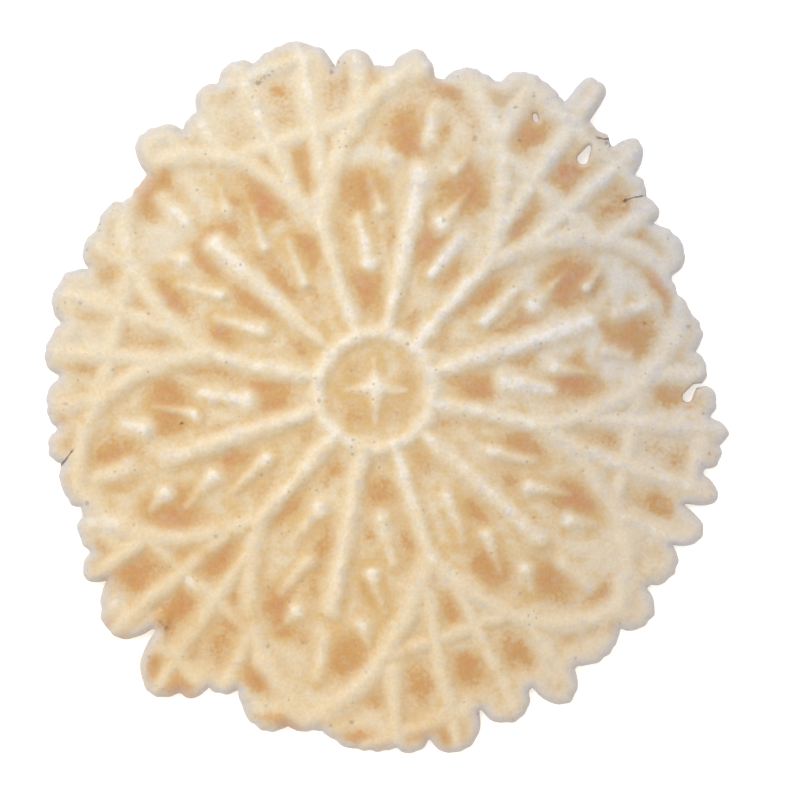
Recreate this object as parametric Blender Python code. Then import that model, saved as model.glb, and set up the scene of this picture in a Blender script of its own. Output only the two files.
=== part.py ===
"""Pizzelle: a thin crisp wafer cookie, baked between two engraved iron plates.

It is one solid. A flat web of batter carries raised ridges on both faces: a round
medallion with a four-pointed star, twelve spokes, six petals filled with teardrop
dashes, and a square lattice in the gaps between the petals. Batter that ran out
along the lattice grooves leaves a ragged rim of lobes. +Z is up, and the wafer
lies on its lower ridges at z = 0. Sizes below are in millimetres and degrees.
"""

import math

import bmesh
import bpy
from mathutils import Vector

MM = 0.001

# The rosette sits a little off the middle of the ragged outline.
ROSETTE_CENTRE = (-2.1, 1.2)
WEB_HALF = 0.75
CREST_HALF = 1.60

# Ridge cross-sections at full size: (half-width at mid-height, half-width of the
# flat crest). The petals' and lattice's ridges are broader and softer.
SHARP = (1.95, 0.5)
BROAD = (2.55, 0.7)
TEARDROP = (2.8, 0.0)
# A ridge scaled down to this size sinks to the web's surface.
SUNK = 0.5
# How a ridge's round end falls away: (distance past the end, size).
ROUND_END = ((0.7, 0.82), (1.2, SUNK))

# Ridge sizes, as shares of CREST_HALF. Neighbours differ a little, as baked ones do.
RING_SIZE = 1.0
STAR_SIZES = (SUNK, 0.72, 0.98, 0.72, SUNK)
SPOKE_SIZE = 0.97
MIDRIB_SIZE = 0.985
PETAL_SIZES = (0.93, 0.94, 0.95)
LATTICE_SIZES = (0.9, 0.904, 0.908, 0.912, 0.916, 0.92)
CROSS_SIZES = (0.87, 0.876)
DASH_SIZES = (SUNK, 0.88, SUNK)
TIP_DASH_SIZES = (SUNK, 0.7, 0.78, 0.78, 0.7, SUNK)

PETAL_COUNT = 6
SECTOR = 360 / PETAL_COUNT
FIRST_PETAL = 18.7
FIRST_GAP = FIRST_PETAL + SECTOR / 2

RING_RADIUS = 10.5
RING_STEPS = 28
STAR_REACH = 5.5
STAR_STATIONS = (-1, -0.35, 0, 0.35, 1)
SPOKE_END = 33.5
MIDRIB_END = 41.0

# A petal's outline, as the handles of its half arch: (across, outward).
PETAL_FOOT = (16.1, 27.8)
PETAL_SHOULDER = (16.4, 45.3)
PETAL_BROW = (10.2, 56.4)
PETAL_TIP = 60.1
PETAL_TIPS = (60.1, 60.0, 59.8, 58.6, 62.4, 60.6)
ARCH_STEPS = 7

# Teardrop dashes beside the midrib: bulb (across, outward), then tail.
DASHES = (
    ((5.8, 23.2), (9.6, 30.6)),
    ((6.0, 33.3), (9.7, 39.8)),
    ((6.2, 43.1), (8.2, 46.4)),
)
DASH_STATIONS = (-0.25, 0.06, 1)
TIP_DASH = ((0.3, 46.6), (0.3, 54.0))

LATTICE_PITCH = 10.7
LATTICE_LINES = (-2.5, -1.5, -0.5, 0.5, 1.5, 2.5)
LATTICE_CROSSES = (49.2, 60.4)
LATTICE_SPAN = (38.0, 75.0)
CROSS_HALF_SPAN = 45.0
CLIP_STEPS = 240

# The ragged rim: a plain circle, the stretches where it swells as (angle, extra
# radius, spread), and the lobes of spilled batter as (angle, reach, half-width).
RIM_RADIUS = 59.6
SWELLS = (
    (49, 4.3, 9), (69, 1.2, 6), (100, 1.5, 6), (112, 4.4, 7), (140, -1.0, 5),
    (246, 1.6, 7), (268, 4.6, 15), (312, 4.4, 24), (351, 3.9, 6),
)
LOBES = (
    (4.3, 62.3, 2.8), (10.5, 62.3, 3.6), (25, 63.6, 4.6), (33.3, 62.8, 3.2),
    (38.5, 63.8, 3.0), (43.2, 67.9, 3.6), (54, 71.3, 3.6), (62.7, 66.1, 5.6),
    (71.5, 62.9, 5.4), (83.2, 64.3, 4.0), (94.2, 64.2, 4.0), (104, 67.0, 6.4),
    (114, 66.8, 3.0), (119.7, 65.3, 3.8), (132.6, 65.1, 4.6), (146.5, 60.8, 3.4),
    (152.8, 60.8, 2.2), (163, 62.6, 4.0), (173.5, 61.9, 4.0), (182.3, 61.5, 3.0),
    (190, 61.8, 3.0), (197, 61.3, 3.2), (207, 61.6, 3.8), (212.8, 64.3, 3.6),
    (222.2, 67.0, 6.2), (233.4, 70.3, 6.0), (239.2, 66.6, 3.6), (252.2, 66.7, 5.8),
    (264.5, 65.8, 3.6), (274.5, 67.8, 6.8), (283, 69.0, 4.8), (293, 66.8, 4.0),
    (302, 68.0, 3.6), (311, 64.8, 4.4), (320, 66.2, 3.6), (329, 64.6, 3.4),
    (336, 66.2, 3.2), (342.8, 67.0, 4.0), (352.4, 66.4, 4.4), (359.2, 63.9, 2.6),
)
LOBE_BLUNTNESS = 2.8
RIM_SAMPLES = 186
RIM_CHAMFER = 0.4
RIDGE_MARGIN = 1.9

# Gaps in the batter that go right through: (angle, radius) of both ends, half-width.
HOLES = (((48.0, 57.9), (49.2, 60.0), 0.8), ((359.4, 58.2), (2.0, 62.5), 0.65))
HOLE_STEPS = 5

CRUST = (0.84, 0.68, 0.44, 1.0)


def polar(angle, radius):
    turn = math.radians(angle)
    return Vector((radius * math.cos(turn), radius * math.sin(turn)))


def local(axis, across, outward):
    """A point given across an axis (clockwise side positive) and outward along it."""
    return polar(axis, outward) + polar(axis - 90, across)


def angle_between(a, b):
    return (a - b + 180) % 360 - 180


def gap_axis(gap):
    return FIRST_GAP + SECTOR * gap


def petal_axis(petal):
    return FIRST_PETAL + SECTOR * petal


def rim_radius(angle):
    """The outline's radius: the plain rim with its swells, or the lobe that reaches past it."""
    plain = RIM_RADIUS
    for centre, extra, spread in SWELLS:
        plain += extra * math.exp(-((angle_between(angle, centre) / spread) ** 2))
    radius = plain
    for centre, reach, half_width in LOBES:
        aside = abs(math.radians(angle_between(angle, centre))) * reach
        bump = math.exp(-((aside / half_width) ** LOBE_BLUNTNESS))
        radius = max(radius, plain + (reach - plain) * bump)
    return radius


def rim_outline():
    angles = [360 * step / RIM_SAMPLES for step in range(RIM_SAMPLES)]
    return [polar(angle, rim_radius(angle)) for angle in angles]


def bezier(a, b, c, d, t):
    s = 1 - t
    return s**3 * a + 3 * s * s * t * b + 3 * s * t * t * c + t**3 * d


def half_arch(petal):
    """Points of one side of a petal's outline, from its foot on the spoke to its tip."""
    tip = PETAL_TIPS[petal]
    stretch = tip / PETAL_TIP
    handles = (
        Vector(PETAL_FOOT),
        Vector(PETAL_SHOULDER) * stretch,
        Vector(PETAL_BROW) * stretch,
        Vector((0, tip)),
    )
    return [bezier(*handles, step / ARCH_STEPS) for step in range(ARCH_STEPS + 1)]


def petal_half_width(petal, outward):
    """Half the width of a petal where it crosses this distance along its axis."""
    points = half_arch(petal)
    if outward >= points[-1].y:
        return 0
    if outward <= points[0].y:
        return outward * math.tan(math.radians(SECTOR / 2))
    for low, high in zip(points, points[1:]):
        if low.y <= outward <= high.y:
            share = (outward - low.y) / max(high.y - low.y, 1e-6)
            return low.x + (high.x - low.x) * share
    return 0


def outside_petals(point):
    for petal in range(PETAL_COUNT):
        axis = petal_axis(petal)
        outward = point.dot(polar(axis, 1))
        across = abs(point.dot(polar(axis - 90, 1)))
        if outward > 0 and across < petal_half_width(petal, outward):
            return False
    return True


def inside_rim(point, margin):
    return point.length < rim_radius(math.degrees(math.atan2(point.y, point.x))) - margin


def clip(start, end, keep):
    """The longest stretch of a straight line whose points all pass the test keep."""
    best, run = [], []
    for step in range(CLIP_STEPS + 1):
        point = start.lerp(end, step / CLIP_STEPS)
        run = run + [point] if keep(point) else []
        if len(run) > len(best):
            best = run
    return (best[0], best[-1]) if len(best) > 2 else None


def collection(name):
    made = bpy.data.collections.new(name)
    bpy.context.scene.collection.children.link(made)
    return made


def place(obj, home):
    """Puts the object in its collection, centred on the rosette at mid-height."""
    obj.location = (ROSETTE_CENTRE[0] * MM, ROSETTE_CENTRE[1] * MM, CREST_HALF * MM)
    home.objects.link(obj)
    return obj


def as_mesh(curve_object, home, name):
    """Turns a curve object into a closed mesh object, and removes the curve."""
    bpy.context.view_layer.update()
    graph = bpy.context.evaluated_depsgraph_get()
    mesh = bpy.data.meshes.new_from_object(curve_object.evaluated_get(graph))
    shape = bmesh.new()
    shape.from_mesh(mesh)
    bmesh.ops.remove_doubles(shape, verts=shape.verts, dist=0.002 * MM)
    bmesh.ops.recalc_face_normals(shape, faces=shape.faces)
    shape.to_mesh(mesh)
    shape.free()
    made = bpy.data.objects.new(name, mesh)
    home.objects.link(made)
    made.matrix_world = curve_object.matrix_world.copy()
    curve = curve_object.data
    bpy.data.objects.remove(curve_object)
    bpy.data.curves.remove(curve)
    return made


def ridge_profile(name, base_half, flat_half, home):
    """A ridge's cross-section: sloped sides and a crest, alike above and below."""
    curve = bpy.data.curves.new(name, "CURVE")
    spline = curve.splines.new("POLY")
    crest = [(-flat_half, CREST_HALF), (flat_half, CREST_HALF)] if flat_half else [(0, CREST_HALF)]
    trough = [(-across, -up) for across, up in crest]
    corners = [(-base_half, 0), *crest, (base_half, 0), *trough]
    spline.points.add(len(corners) - 1)
    for point, (across, up) in zip(spline.points, corners):
        point.co = (across * MM, up * MM, 0, 1)
    spline.use_cyclic_u = True
    profile = bpy.data.objects.new(name, curve)
    profile.hide_render = True
    profile.display_type = "WIRE"
    home.objects.link(profile)
    return profile


def ridge(name, points, sizes, profile, home, cyclic=False):
    """A ridge along the points; sizes scale its width and height at each point."""
    curve = bpy.data.curves.new(name, "CURVE")
    curve.dimensions = "3D"
    curve.twist_mode = "Z_UP"
    curve.bevel_mode = "OBJECT"
    curve.bevel_object = profile
    curve.use_fill_caps = True
    spline = curve.splines.new("POLY")
    spline.points.add(len(points) - 1)
    for knot, point, size in zip(spline.points, points, sizes):
        knot.co = (point.x * MM, point.y * MM, 0, 1)
        knot.radius = size
    spline.use_cyclic_u = cyclic
    return as_mesh(place(bpy.data.objects.new(name + "_path", curve), home), home, name)


def straight(start, end, size, round_start=False, round_end=False):
    """Points and sizes of a straight ridge whose chosen ends round off."""
    along = (end - start).normalized()
    before = [(start - along * past, share * size) for past, share in reversed(ROUND_END)]
    after = [(end + along * past, share * size) for past, share in ROUND_END]
    knots = [(start, size), (end, size)]
    knots = before * round_start + knots + after * round_end
    return [point for point, _ in knots], [scale for _, scale in knots]


def medallion(profile, home):
    ring = [polar(360 * step / RING_STEPS, RING_RADIUS) for step in range(RING_STEPS)]
    ridge("ring", ring, [RING_SIZE] * RING_STEPS, profile, home, cyclic=True)
    for turn in (0, 90):
        points = [polar(turn, STAR_REACH * station) for station in STAR_STATIONS]
        ridge(f"star_{turn}", points, STAR_SIZES, profile, home)


def spokes(profile, home):
    for sector in range(PETAL_COUNT):
        shared = gap_axis(sector)
        start, end = polar(shared, RING_RADIUS), polar(shared, SPOKE_END)
        ridge(f"spoke_{sector}", *straight(start, end, SPOKE_SIZE), profile, home)
        axis = petal_axis(sector)
        start, end = polar(axis, RING_RADIUS), polar(axis, MIDRIB_END)
        knots = straight(start, end, MIDRIB_SIZE, round_end=True)
        ridge(f"midrib_{sector}", *knots, profile, home)


def petals(profile, home):
    for petal in range(PETAL_COUNT):
        axis = petal_axis(petal)
        side = half_arch(petal)
        arch = [(point.x, point.y) for point in side]
        arch += [(-across, outward) for across, outward in reversed(arch[:-1])]
        points = [local(axis, across, outward) for across, outward in arch]
        size = PETAL_SIZES[petal % len(PETAL_SIZES)]
        ridge(f"petal_{petal}", points, [size] * len(points), profile, home)


def dashes(profile, home):
    """Teardrops: a round bulb towards the centre and a tail that sinks outward."""
    for petal in range(PETAL_COUNT):
        axis = petal_axis(petal)
        for number, (bulb, tail) in enumerate(DASHES):
            for side in (-1, 1):
                start = local(axis, side * bulb[0], bulb[1])
                end = local(axis, side * tail[0], tail[1])
                points = [start.lerp(end, station) for station in DASH_STATIONS]
                ridge(f"dash_{petal}_{number}_{side}", points, DASH_SIZES, profile, home)
        start, end = (local(axis, *point) for point in TIP_DASH)
        points, _ = straight(start, end, 1, round_start=True, round_end=True)
        ridge(f"tip_dash_{petal}", points, TIP_DASH_SIZES, profile, home)


def lattice_ridge(name, start, end, size, profile, home, round_end):
    """A lattice ridge between two points, cut off where petals or the rim begin."""
    kept = clip(start, end, lambda point: outside_petals(point) and inside_rim(point, RIDGE_MARGIN))
    if kept:
        ridge(name, *straight(*kept, size, round_end=round_end), profile, home)


def lattice(profile, home):
    for gap in range(PETAL_COUNT):
        axis = gap_axis(gap)
        for number, line in enumerate(LATTICE_LINES):
            ends = [local(axis, line * LATTICE_PITCH, outward) for outward in LATTICE_SPAN]
            size = LATTICE_SIZES[number]
            lattice_ridge(f"lattice_{gap}_{number}", *ends, size, profile, home, round_end=True)
        for number, outward in enumerate(LATTICE_CROSSES):
            ends = [local(axis, side * CROSS_HALF_SPAN, outward) for side in (-1, 1)]
            size = CROSS_SIZES[number]
            lattice_ridge(f"cross_{gap}_{number}", *ends, size, profile, home, round_end=False)


def slab(name, outline, half, chamfer, home):
    """A flat outline as a closed slab with chamfered edges, centred on mid-height."""
    curve = bpy.data.curves.new(name, "CURVE")
    curve.dimensions = "2D"
    curve.fill_mode = "BOTH"
    curve.extrude = (half - chamfer) * MM
    curve.bevel_depth = chamfer * MM
    curve.bevel_resolution = 0
    curve.offset = -chamfer * MM
    spline = curve.splines.new("POLY")
    spline.points.add(len(outline) - 1)
    for knot, point in zip(spline.points, outline):
        knot.co = (point.x * MM, point.y * MM, 0, 1)
    spline.use_cyclic_u = True
    return as_mesh(place(bpy.data.objects.new(name + "_path", curve), home), home, name)


def hole_cutter(number, hole, home):
    """A round-ended slot between two places on the web."""
    start, end, half_width = polar(*hole[0]), polar(*hole[1]), hole[2]
    heading = math.degrees(math.atan2(end.y - start.y, end.x - start.x))
    outline = []
    for centre, first in ((end, heading - 90), (start, heading + 90)):
        turns = [first + 180 * step / HOLE_STEPS for step in range(HOLE_STEPS + 1)]
        outline += [centre + polar(turn, half_width) for turn in turns]
    cutter = slab(f"hole_{number}", outline, 2 * CREST_HALF, 0, home)
    cutter.hide_render = True
    cutter.display_type = "WIRE"
    return cutter


def crust_material():
    material = bpy.data.materials.new("baked_wafer")
    material.use_nodes = True
    shader = material.node_tree.nodes["Principled BSDF"]
    shader.inputs["Base Color"].default_value = CRUST
    shader.inputs["Roughness"].default_value = 0.75
    shader.inputs["Metallic"].default_value = 0.0
    material.diffuse_color = CRUST
    return material


def main():
    for obj in list(bpy.data.objects):
        bpy.data.objects.remove(obj)
    bpy.context.scene.unit_settings.scale_length = 1.0
    pizzelle = collection("pizzelle")
    raised = collection("raised_pattern")
    cutters = collection("cutters")
    sharp = ridge_profile("sharp_profile", *SHARP, cutters)
    broad = ridge_profile("broad_profile", *BROAD, cutters)
    teardrop = ridge_profile("teardrop_profile", *TEARDROP, cutters)

    medallion(sharp, raised)
    spokes(sharp, raised)
    petals(broad, raised)
    dashes(teardrop, raised)
    lattice(broad, raised)
    for obj in raised.objects:
        obj.hide_render = True
        obj.display_type = "WIRE"

    wafer = slab("wafer", rim_outline(), WEB_HALF, RIM_CHAMFER, pizzelle)
    wafer.data.materials.append(crust_material())

    join = wafer.modifiers.new("raised_pattern", "BOOLEAN")
    join.operation = "UNION"
    join.operand_type = "COLLECTION"
    join.collection = raised
    for number, hole in enumerate(HOLES):
        cut = wafer.modifiers.new(f"hole_{number}", "BOOLEAN")
        cut.operation = "DIFFERENCE"
        cut.object = hole_cutter(number, hole, cutters)


main()
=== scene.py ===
"""Looks of the pizzelle: its baked surface, its toasting, cracks and pores, the light and the camera.

The wafer is one piece, wafer_crust. It is grown from the same named sizes as the CAD solid, with
softer ridges, a plump ragged rim and the small unevenness of baked batter, and then it is coloured
by how the iron toasted it, with shade painted beside its ridges and on its rim and, in part, over
its right and lower side, and light painted round its openings. Sizes are in millimetres and
degrees, about the rosette's centre.
"""

import math

import bpy
import numpy as np
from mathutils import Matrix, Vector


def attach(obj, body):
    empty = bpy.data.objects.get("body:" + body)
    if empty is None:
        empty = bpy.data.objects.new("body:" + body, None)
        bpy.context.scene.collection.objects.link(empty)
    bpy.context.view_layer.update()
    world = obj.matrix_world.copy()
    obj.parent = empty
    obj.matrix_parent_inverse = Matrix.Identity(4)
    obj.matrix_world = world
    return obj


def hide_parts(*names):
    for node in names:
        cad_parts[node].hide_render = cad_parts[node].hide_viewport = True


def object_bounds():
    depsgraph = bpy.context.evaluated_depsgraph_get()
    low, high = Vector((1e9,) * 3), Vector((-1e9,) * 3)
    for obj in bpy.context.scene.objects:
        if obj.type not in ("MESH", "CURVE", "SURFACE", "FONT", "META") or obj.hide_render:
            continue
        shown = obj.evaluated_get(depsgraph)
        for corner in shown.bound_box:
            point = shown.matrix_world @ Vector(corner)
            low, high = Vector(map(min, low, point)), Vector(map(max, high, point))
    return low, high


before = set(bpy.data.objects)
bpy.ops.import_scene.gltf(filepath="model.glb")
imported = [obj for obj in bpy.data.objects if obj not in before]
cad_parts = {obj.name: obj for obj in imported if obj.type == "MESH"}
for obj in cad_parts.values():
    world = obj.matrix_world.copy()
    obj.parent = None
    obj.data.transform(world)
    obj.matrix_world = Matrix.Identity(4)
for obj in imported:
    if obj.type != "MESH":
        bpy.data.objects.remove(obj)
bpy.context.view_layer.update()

MM = 0.001

# The pattern's sizes, much as in the CAD solid.
ROSETTE_CENTRE = (-2.1, 1.2)
WEB_HALF = 0.75
CREST_HALF = 1.6

PETAL_COUNT = 6
SECTOR = 360 / PETAL_COUNT
FIRST_PETAL = 18.7
FIRST_GAP = FIRST_PETAL + SECTOR / 2

RING_RADIUS = 10.5
RING_STEPS = 60
SPOKE_END = 33.5

PETAL_FOOT = (16.1, 27.8)
PETAL_SHOULDER = (16.4, 45.3)
PETAL_BROW = (10.2, 56.4)
PETAL_TIP = 60.1
PETAL_TIPS = (60.1, 62.4, 60.1, 57.6, 61.5, 60.6)
ARCH_STEPS = 22

# Teardrop dashes beside the midrib: bulb (across, outward), then tail.
DASHES = (
    ((5.8, 23.2), (9.6, 30.6)),
    ((6.0, 33.3), (9.7, 39.8)),
    ((6.2, 43.1), (8.2, 46.4)),
)
TIP_DASH = (47.4, 53.8)
TIP_DASH_SIDES = (0.3, 0.3, -0.2, 0.3, 0.3, 0.3)
TIP_DASH_TONES = (0.9, 0.85, 1.05, 0.85, 0.8, 0.8)
TIP_DASH_FADE = 0.85

# The lattice in each gap, fanning outward: the ends (across, outward) of its four lines.
LATTICE_LINES = (
    ((-13.3, 50.0), (-18.7, 70.0)), ((-2.7, 38.0), (-6.6, 70.0)),
    ((2.9, 38.0), (6.9, 70.0)), ((13.6, 50.0), (18.4, 70.0)),
)
INNER_CROSSES = (48.4, 49.3, 49.2, 48.5, 47.3, 48.3)
OUTER_CROSSES = (61.2, 62.9, 60.9, 61.9, 61.6, 61.3)
CROSS_HALF_SPAN = 45.0
CLIP_STEPS = 240

# How far each petal and gap leans from its even place, in degrees, and how much each petal's
# shoulder and brow spread on its left and right side.
PETAL_LEANS = (-0.7, -0.4, -1.0, -0.9, 0.0, -0.5)
GAP_LEANS = (-0.5, -0.7, -0.9, -0.5, 0.0, -0.4)
ARCH_SPREADS = (
    ((1.9, 1.8), (1.7, 1.8)), ((0.6, 0.0), (1.0, 0.6)), ((0.9, 1.4), (1.8, 2.2)),
    ((1.7, 2.8), (3.3, 5.2)), ((-3.2, -2.4), (1.8, -2.4)), ((0.7, 0.5), (1.0, 0.8)),
)

# The ragged rim: swells as (angle, extra radius, spread), and lobes as (the angles where each
# starts, peaks and ends, and its reach).
RIM_RADIUS = 59.0
SWELLS = (
    (50, 4.6, 15), (62, 2.6, 7), (88, 1.4, 7), (112, 5.2, 12), (140, -0.7, 6), (157, -1.0, 4),
    (189, 0.9, 8), (212, 1.5, 6), (236, 3.4, 9), (261, 1.2, 3), (272, 6.4, 14), (312, 4.6, 26),
    (351, 4.2, 9),
)
LOBES = (
    (1.0, 3.8, 7.0, 61.9), (6.9, 10.0, 14.5, 61.9), (11.5, 14.5, 17.4, 60.5),
    (21.3, 24.8, 31.0, 63.4), (31.0, 32.8, 36.6, 62.8), (35.3, 38.4, 42.0, 63.3),
    (39.6, 44.0, 45.7, 67.6), (46.5, 48.0, 49.6, 64.2),
    (58.0, 63.2, 67.9, 65.9), (67.0, 72.8, 77.4, 62.7), (79.4, 83.2, 86.8, 64.0),
    (90.2, 93.7, 97.0, 63.9), (97.1, 104.3, 111.0, 66.8), (110.2, 113.5, 117.4, 66.7),
    (116.6, 119.5, 122.6, 65.0), (120.5, 123.2, 126.3, 61.6), (126.4, 132.3, 136.5, 64.7),
    (143.3, 146.2, 150.5, 60.7), (149.5, 152.6, 156.7, 60.7), (157.0, 163.0, 168.0, 62.6),
    (167.6, 173.6, 177.1, 61.8), (178.2, 182.3, 186.5, 61.2), (187.3, 190.7, 193.0, 61.8),
    (193.0, 197.0, 201.5, 61.0), (203.3, 207.3, 210.0, 61.5), (209.5, 212.8, 215.3, 64.2),
    (215.2, 222.5, 226.8, 66.8), (227.5, 233.5, 238.0, 70.1), (233.8, 238.0, 240.9, 67.2),
    (239.0, 242.0, 245.4, 63.4), (245.4, 252.4, 256.5, 66.5), (253.0, 257.4, 260.8, 64.8),
    (261.3, 264.4, 268.0, 65.5), (262.5, 270.2, 274.0, 67.0), (273.5, 275.2, 279.0, 67.7),
    (278.8, 283.0, 288.0, 69.0), (288.6, 293.0, 297.0, 66.8), (298.0, 302.0, 305.6, 68.2),
    (306.5, 311.0, 315.6, 65.4), (316.0, 320.0, 324.0, 66.6), (325.0, 329.0, 332.6, 65.2),
    (332.6, 336.2, 339.6, 66.6), (340.2, 342.8, 345.6, 66.8), (346.8, 349.2, 351.4, 65.5),
    (350.8, 353.0, 355.3, 66.3), (355.6, 359.0, 361.2, 63.6),
)
LOBE_ROUNDNESS = 1.8
FINGER = (51.7, 54.1, 56.6, 71.1)
FINGER_ROUNDNESS = 4.0
WOBBLE_WAVES = (47, 71, 89, 113, 149, 191)
WOBBLE_DEPTH = 0.075
WOBBLE_SEED = 7
RIDGE_MARGIN = 1.2

# Unevenness of baked batter, in random fields of (amount, size of the bumps, seed). The bends and
# the drifts have one sum of fields across and one up.
BENDS = (((0.25, 6.0, 11),), ((0.25, 6.0, 12),))
RIDGE_WIDENING = ((0.14, 5.0, 13), (0.08, 2.2, 14))
RIDGE_SWELL = ((0.12, 6.0, 22), (0.08, 2.4, 25))
BEAD_SWELL = ((0.45, 5.0, 21),)
WEB_WAVES = ((0.07, 3.2, 23), (0.05, 1.7, 24))
WARP = ((0.15, 45.0, 31),)
TOAST_DRIFTS = (((0.9, 3.6, 41), (0.35, 1.5, 43)), ((0.9, 3.6, 42), (0.35, 1.5, 44)))
NOISE_CELLS = 61

# How the ridges look once baked: half-width and share of the full crest height, then paleness and
# golden foot where these are the same for all. A pair runs from the ridge's start to its end.
RING = (1.45, 0.98, 0.95, 0.6)
RING_SPREAD = 0.25
SPOKE = (1.4, 0.94)
MIDRIB_HEIGHT = (0.96, 0.98)
STAR = ((1.45, 0.3), (0.95, 0.45), (1.1, 0.5))
STAR_CENTRE = (0.0, 0.45)
STAR_REACHES = (5.6, 5.8, 5.8, 6.2)
PETAL = (1.75, 0.9)
PETAL_FEET = 0.75
LATTICE = (1.5, 0.86)
CROSS = (1.4, 0.78)
TIP_DASH_LOOK = ((1.5, 1.3), (0.78, 0.7))

# How far a ridge acts and how far its paleness goes, in half-widths; the gain that keeps its top
# evenly pale; how far its golden foot goes, in millimetres; and how firmly ridges blend on meeting.
RIDGE_REACH = 3
PALE_REACH = 1.15
PALE_GAIN = 1.1
FOOT_REACH = 3.4
BLEND_POWER = 5.0

# Where the batter did not fill the iron's lines: (angle, radius), size, and the share lost.
FADES = (
    ((138.0, 58.6), 4.6, 0.75), ((186.0, 55.0), 3.6, 0.3), ((233.4, 57.2), 3.4, 0.35),
    ((222.6, 44.0), 3.6, 0.35), ((241.0, 47.0), 4.0, 0.35),
)

# How pale the ridges baked, 0 to 1, and how strongly their feet turned golden: the arches by petal
# (left and right side), and the spokes and the lattice by gap (inner and outer end).
ARCH_PALENESS = ((0.66, 0.66), (0.78, 0.8), (0.8, 0.6), (0.62, 0.56), (0.72, 0.64), (0.7, 0.7))
SPOKE_PALENESS = ((1.15, 0.86), (1.0, 0.56), (1.0, 0.8), (1.0, 0.7), (1.12, 0.8), (1.0, 0.8))
LATTICE_PALENESS = ((0.8, 0.84), (0.74, 1.0), (0.38, 0.9), (0.4, 0.5), (0.46, 0.46), (0.78, 0.84))
LATTICE_FEET = (0.6, 0.25, 0.2, 0.9, 0.8, 0.4)
CROSS_SHARE = 0.9

# Each petal's midrib: where it ends, then its half-width and its paleness, at its foot and end.
MIDRIB_LOOKS = (
    (41.0, (1.35, 1.9), (0.93, 1.1)), (41.0, (1.3, 1.85), (0.86, 1.06)),
    (40.2, (1.0, 1.9), (0.5, 1.12)), (41.0, (1.4, 1.75), (0.92, 0.84)),
    (41.4, (1.35, 1.6), (0.84, 0.86)), (41.0, (1.4, 1.7), (0.9, 0.9)),
)

# Each petal's dashes, from the foot outward, left then right: the half-width of the bulb and of
# the tail, and the tail's share of the crest height.
DASH_LOOKS = (
    ((1.15, 1.0, 0.72), (1.7, 1.5, 0.62), (1.6, 0.5, 0.6), (1.6, 0.5, 0.6), (1.2, 0.9, 0.7),
     (1.5, 1.1, 0.6)),
    ((1.5, 0.95, 0.72), (1.05, 1.35, 0.74), (1.3, 0.45, 0.55), (1.75, 0.45, 0.6), (1.4, 0.6, 0.5),
     (1.2, 0.8, 0.6)),
    ((1.25, 0.8, 0.68), (0.9, 0.7, 0.58), (1.0, 0.75, 0.72), (1.0, 0.6, 0.6), (1.75, 0.5, 0.46),
     (1.5, 0.6, 0.6)),
    ((1.2, 0.7, 0.66), (1.7, 1.1, 0.7), (1.6, 0.65, 0.62), (1.1, 0.55, 0.6), (1.6, 0.7, 0.6),
     (1.4, 1.1, 0.66)),
    ((1.6, 0.8, 0.66), (1.7, 0.7, 0.62), (1.4, 0.6, 0.6), (1.4, 1.0, 0.62), (1.6, 0.7, 0.6),
     (1.7, 0.5, 0.46)),
    ((1.4, 0.8, 0.66), (1.4, 0.7, 0.62), (1.5, 0.55, 0.6), (1.5, 0.55, 0.6), (1.5, 0.7, 0.6),
     (1.5, 0.7, 0.6)),
)
BULB_HEIGHT = 0.9
BULB_PALENESS = 1.15
THIN_TAIL = 0.45
WIDE_TAIL = 1.05
DASH_TAPER = 0.6

# Dashes that baked browner than the rest: (petal, place in its row) and the share of paleness kept.
DIM_DASHES = {
    (0, 4): 0.25, (0, 5): 0.5, (1, 2): 0.7, (1, 4): 0.8, (1, 5): 0.5, (2, 5): 0.75, (4, 3): 0.5,
}

# The rim is a rounded bead, which swells a little inside the edge.
EDGE_ROUND = 1.5
HOLE_ROUND = 0.8
BEAD_HEIGHT = 0.42
BEAD_PLACE = 2.2
BEAD_SPREAD = 1.9
BEAD_BLEND = 3
RAISED_SHARE = 0.95

# Openings in the batter: (angle, radius) of both ends, and the half-width at each.
OPENINGS = (
    ((48.2, 57.9), (48.7, 60.3), 1.05, 0.4),
    ((59.3, 58.6), (59.9, 59.2), 0.5, 0.45),
    ((358.9, 58.1), (0.9, 59.4), 0.95, 0.4),
    ((0.9, 59.4), (1.2, 62.0), 0.4, 0.15),
    ((227.1, 61.0), (227.5, 68.0), 0.25, 1.1),
)

# The mesh: spacing of its points, its layers through half the thickness (the underside's are below
# its level), the steps that settle points on the surface, and the outline's stretches.
GRID = 0.42
LAYERS = (-1.25, -0.9, -0.54, -0.18, 0.18, 0.54, 0.9, 1.25)
UNDERSIDE = -0.5
SETTLING_STEPS = 4
LEAST_PULL = 0.2
DEPTH_LIMIT = 8.0
OUTLINE_STEPS = 1440
NEAR_STRETCHES = 44
MOST_TRIANGLES = 190000


def polar(angle, radius):
    turn = math.radians(angle)
    return np.array((radius * math.cos(turn), radius * math.sin(turn)))


def local(axis, across, outward):
    """A point given across an axis (clockwise side positive) and outward along it."""
    return polar(axis, outward) + polar(axis - 90, across)


def turned(x, y, direction):
    """Each place as it lies along a direction, and across it to the left."""
    return x * direction[0] + y * direction[1], y * direction[0] - x * direction[1]


def beside_stretch(x, y, start, end):
    """Each place's share of the way from start to end, how far past these it is, and across."""
    length = np.linalg.norm(end - start)
    forward, across = turned(x - start[0], y - start[1], (end - start) / length)
    within = np.clip(forward, 0, length)
    return within / length, np.abs(forward - within), across


def angle_between(a, b):
    return (a - b + 180) % 360 - 180


def gap_axis(gap):
    return FIRST_GAP + SECTOR * gap


def petal_axis(petal):
    return FIRST_PETAL + SECTOR * petal


def gap_line(gap):
    """The direction a gap's spoke and lattice really take."""
    return gap_axis(gap) + GAP_LEANS[gap]


def petal_line(petal):
    """The direction a petal really takes."""
    return petal_axis(petal) + PETAL_LEANS[petal]


def fading(distance, reach):
    """1 at no distance, falling off smoothly to almost nothing at twice the reach."""
    return np.exp(-((distance / reach) ** 2))


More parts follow.
